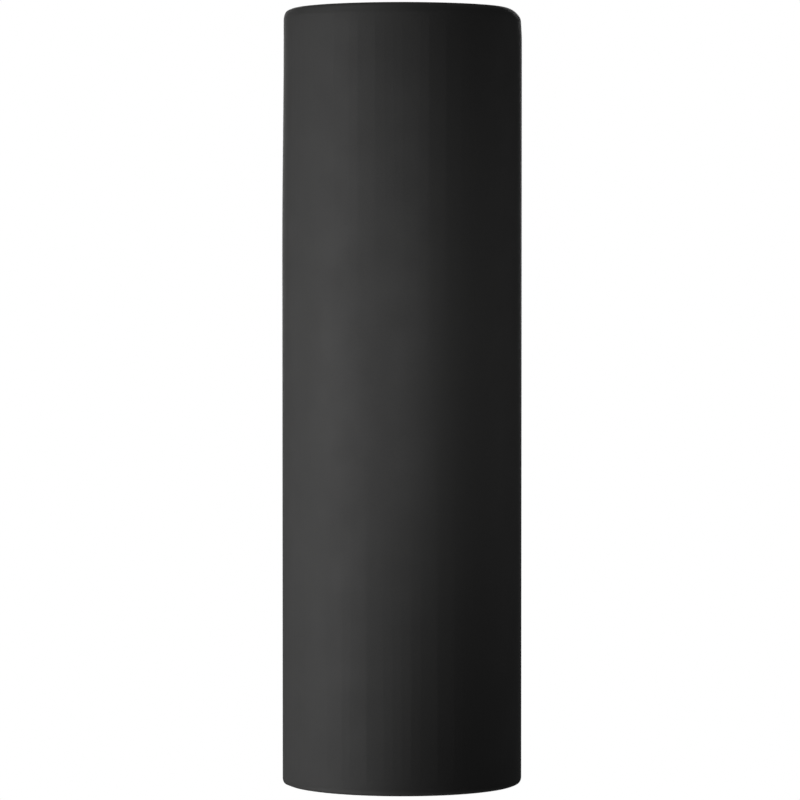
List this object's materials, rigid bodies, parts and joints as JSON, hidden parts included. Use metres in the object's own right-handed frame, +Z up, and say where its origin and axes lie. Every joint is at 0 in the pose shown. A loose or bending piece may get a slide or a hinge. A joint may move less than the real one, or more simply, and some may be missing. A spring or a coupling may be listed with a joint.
{
  "type": "tube wall light",
  "caption": "Upright matte black ceramic tube that lifts off a steel pan with an up and a down lamp, for lighting a wall through open ends.",
  "frame": {"origin": "on the wall plane, midway between the two junction box screws, at the middle of the light's height", "axes": "+Z up along the tube, +Y into the wall, +X to the right as seen from the room; the front of the tube faces -Y"},
  "size_m": [0.1334, 0.0953, 0.4318],
  "materials": {
    "glaze": "matte black stoneware glaze outside, bare clay inside",
    "foam": "matte closed-cell foam",
    "rubber": "matte",
    "zinc": "bright zinc plating",
    "white_steel": "satin white powder coat",
    "nickel": "nickel plating, satin",
    "brass": "plain turned brass",
    "nickel_brass": "nickel-plated brass",
    "nylon": "black nylon, satin",
    "block_plastic": "off-white nylon, satin",
    "porcelain": "white glazed porcelain",
    "lamp_plastic": "satin white plastic",
    "opal": "opal plastic, satin",
    "black_insulator": "gloss black insulator",
    "board": "white solder mask",
    "live_sleeve": "black insulation, satin",
    "neutral_sleeve": "white insulation, satin",
    "earth_sleeve": "green insulation, satin"
  },
  "bodies": {
    "chassis": {"crossbar": "zinc", "crossbar_studs": "zinc", "lock_washers": "zinc", "cap_nuts": "nickel_brass", "back_pan": "white_steel", "left_pan_side": "white_steel", "right_pan_side": "white_steel", "hanger_studs": "nickel", "lock_bush": "brass", "cable_bushing": "nylon", "bracket_rivets": "nickel", "holder_screws": "zinc", "terminal_block": "block_plastic", "terminal_tubes": "brass", "terminal_screws": "zinc", "block_screws": "zinc", "upper_live_lead": "live_sleeve", "lower_live_lead": "live_sleeve", "upper_neutral_lead": "neutral_sleeve", "lower_neutral_lead": "neutral_sleeve", "earth_lead": "earth_sleeve", "earth_ring": "nickel_brass", "earth_screw": "zinc", "upper_holder_bracket": "white_steel", "upper_lampholder": "porcelain", "upper_screw_shell": "nickel_brass", "upper_centre_contact": "brass", "lower_holder_bracket": "white_steel", "lower_lampholder": "porcelain", "lower_screw_shell": "nickel_brass", "lower_centre_contact": "brass"},
    "tube": {"ceramic_tube": "glaze", "left_wall_gasket": "foam", "right_wall_gasket": "foam", "upper_hanger_strap": "zinc", "lower_hanger_strap": "zinc", "strap_screws": "zinc", "strap_cushions": "rubber", "strap_washers": "zinc", "strap_nuts": "zinc"},
    "upper_lamp": {"upper_lamp_cap": "nickel_brass", "upper_lamp_contact": "brass", "upper_lamp_insulator": "black_insulator", "upper_lamp_housing": "lamp_plastic", "upper_lamp_board": "board", "upper_lamp_globe": "opal"},
    "lower_lamp": {"lower_lamp_cap": "nickel_brass", "lower_lamp_contact": "brass", "lower_lamp_insulator": "black_insulator", "lower_lamp_housing": "lamp_plastic", "lower_lamp_board": "board", "lower_lamp_globe": "opal"},
    "lock_screw": {"lock_screw": "nickel_brass"}
  },
  "joints": [
    {"name": "tube_lift", "type": "slide", "parent": "chassis", "child": "tube", "axis": [0, 0, 1], "range_m": [0, 0.01]},
    {"name": "upper_lamp_out", "type": "slide", "parent": "chassis", "child": "upper_lamp", "axis": [0, 0, 1], "range_m": [0, 0.03]},
    {"name": "lower_lamp_out", "type": "slide", "parent": "chassis", "child": "lower_lamp", "axis": [0, 0, -1], "range_m": [0, 0.03]},
    {"name": "lock_screw_back", "type": "slide", "parent": "chassis", "child": "lock_screw", "axis": [0, -1, 0], "range_m": [0, 0.0024]}
  ]
}
